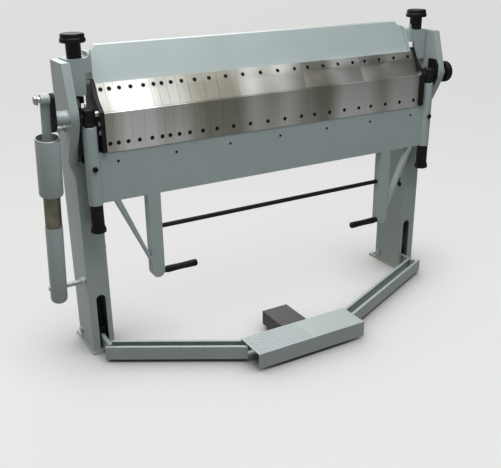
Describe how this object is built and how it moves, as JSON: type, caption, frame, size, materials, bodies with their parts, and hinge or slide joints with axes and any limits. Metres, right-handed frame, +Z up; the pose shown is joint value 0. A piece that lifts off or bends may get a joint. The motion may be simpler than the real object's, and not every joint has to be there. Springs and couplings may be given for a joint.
{
  "type": "sheet metal folding brake",
  "caption": "Treadle operated sheet metal folding brake with segmented clamp fingers, a swinging apron on end pivots, hanging handles and a balance strut on one side.",
  "frame": {"origin": "centre of the bounding box on the floor", "axes": "+X along the bend line to the right end, +Y to the rear of the machine, +Z up"},
  "size_m": [1.623, 0.585, 1.0826],
  "materials": {
    "paint": "satin",
    "black_steel": "satin",
    "black_plastic": "satin",
    "ground_steel": "brushed",
    "chrome": "polished",
    "bronze": "satin",
    "spring_steel": "satin"
  },
  "bodies": {
    "frame": {"column_left": "paint", "column_right": "paint", "foot_plates": "paint", "bed_beam": "paint", "bed_blade": "ground_steel", "bed_ribs": "paint", "pivot_plate_inner_left": "black_steel", "pivot_plate_inner_right": "black_steel", "pivot_plate_outer_left": "black_steel", "pivot_plate_outer_right": "black_steel", "pivot_bushes": "bronze", "pivot_housings": "paint", "plate_bolts": "chrome", "column_bolts": "black_steel", "pedal_pivot_pins": "chrome", "strut_stud": "chrome", "apron_stop_bolt": "chrome", "return_springs": "spring_steel"},
    "pivots": {"pivot_block_left": "black_steel", "pivot_block_right": "black_steel", "pivot_shaft_left": "ground_steel", "pivot_shaft_right": "ground_steel", "adjuster_spindles": "ground_steel", "crank_arm": "black_steel", "crank_pin": "chrome", "angle_disc": "black_plastic"},
    "apron": {"apron_plate": "paint", "apron_tube_left": "paint", "apron_tube_right": "paint", "apron_fingers": "ground_steel", "apron_finger_screws": "black_steel", "apron_set_screws": "black_steel", "handle_left": "paint", "handle_right": "paint", "grip_left": "black_plastic", "grip_right": "black_plastic", "crossbar": "black_steel"},
    "adjuster_knob_left": {"adjuster_knob_left": "black_plastic"},
    "adjuster_knob_right": {"adjuster_knob_right": "black_plastic"},
    "clamp_beam": {"clamp_beam": "paint", "ear_left": "paint", "ear_right": "paint", "clamp_fingers_narrow": "ground_steel", "clamp_finger_wide_left": "ground_steel", "clamp_finger_wide_middle": "ground_steel", "clamp_finger_wide_right": "ground_steel", "clamp_finger_screws": "black_steel"},
    "pressure_knob_left": {"pressure_knob_left": "black_plastic"},
    "pressure_knob_right": {"pressure_knob_right": "black_plastic"},
    "rods": {"pull_rod_left": "ground_steel", "pull_rod_right": "ground_steel"},
    "pedal": {"pedal_lever_left": "paint", "pedal_lever_right": "paint", "treadle_arm_left": "paint", "treadle_arm_right": "paint", "treadle": "paint", "treadle_heel": "black_steel"},
    "strut_rod": {"strut_bar": "paint"},
    "strut": {"strut_sleeve": "paint", "strut_tubes": "paint"}
  },
  "joints": [
    {"name": "apron_swing", "type": "hinge", "parent": "frame", "child": "pivots", "pos_m": [0.0375, 0.0475, 0.85], "axis": [-1, 0, 0], "range_deg": [0, 115]},
    {"name": "apron_adjust", "type": "slide", "parent": "pivots", "child": "apron", "axis": [0, 0, -1], "range_m": [0, 0.01]},
    {"name": "adjuster_left", "type": "hinge", "parent": "apron", "child": "adjuster_knob_left", "pos_m": [-0.6445, 0.0475, 0.52], "axis": [0, 0, 1], "range_deg": [0, 900]},
    {"name": "adjuster_right", "type": "hinge", "parent": "apron", "child": "adjuster_knob_right", "pos_m": [0.7195, 0.0475, 0.52], "axis": [0, 0, 1], "range_deg": [0, 900]},
    {"name": "clamp_lift", "type": "slide", "parent": "frame", "child": "rods", "axis": [0, 0, 1], "range_m": [0, 0.045], "deforming": ["return_springs"]},
    {"name": "gap_adjust", "type": "slide", "parent": "rods", "child": "clamp_beam", "axis": [0, 0, 1], "range_m": [0, 0.005]},
    {"name": "pressure_left", "type": "hinge", "parent": "clamp_beam", "child": "pressure_knob_left", "pos_m": [-0.6425, 0.1355, 1.03], "axis": [0, 0, 1], "range_deg": [0, 450]},
    {"name": "pressure_right", "type": "hinge", "parent": "clamp_beam", "child": "pressure_knob_right", "pos_m": [0.7175, 0.1355, 1.03], "axis": [0, 0, 1], "range_deg": [0, 450]},
    {"name": "pedal_swing", "type": "hinge", "parent": "frame", "child": "pedal", "pos_m": [0.0375, 0.2335, 0.036], "axis": [-1, 0, 0], "range_deg": [0, 26.5]},
    {"name": "strut_upper", "type": "hinge", "parent": "pivots", "child": "strut_rod", "pos_m": [-0.7745, 0.02356, 0.91578], "axis": [-1, 0, 0], "range_deg": [-106.9, 0]},
    {"name": "strut_lower", "type": "hinge", "parent": "frame", "child": "strut", "pos_m": [-0.7745, 0.1275, 0.275], "axis": [-1, 0, 0], "range_deg": [0, 8.2]}
  ],
  "couplings": [
    {"joint": "adjuster_left", "follows": "apron_adjust", "rad_per_m": 1570.8},
    {"joint": "adjuster_right", "follows": "apron_adjust", "rad_per_m": 1570.8},
    {"joint": "pressure_left", "follows": "gap_adjust", "rad_per_m": 1570.8},
    {"joint": "pressure_right", "follows": "gap_adjust", "rad_per_m": 1570.8},
    {"joint": "pedal_swing", "follows": "clamp_lift", "rad_per_m": 10.204},
    {"joint": "strut_upper", "follows": "apron_swing", "ratio": -0.9289},
    {"joint": "strut_lower", "follows": "apron_swing", "ratio": 0.0711}
  ]
}
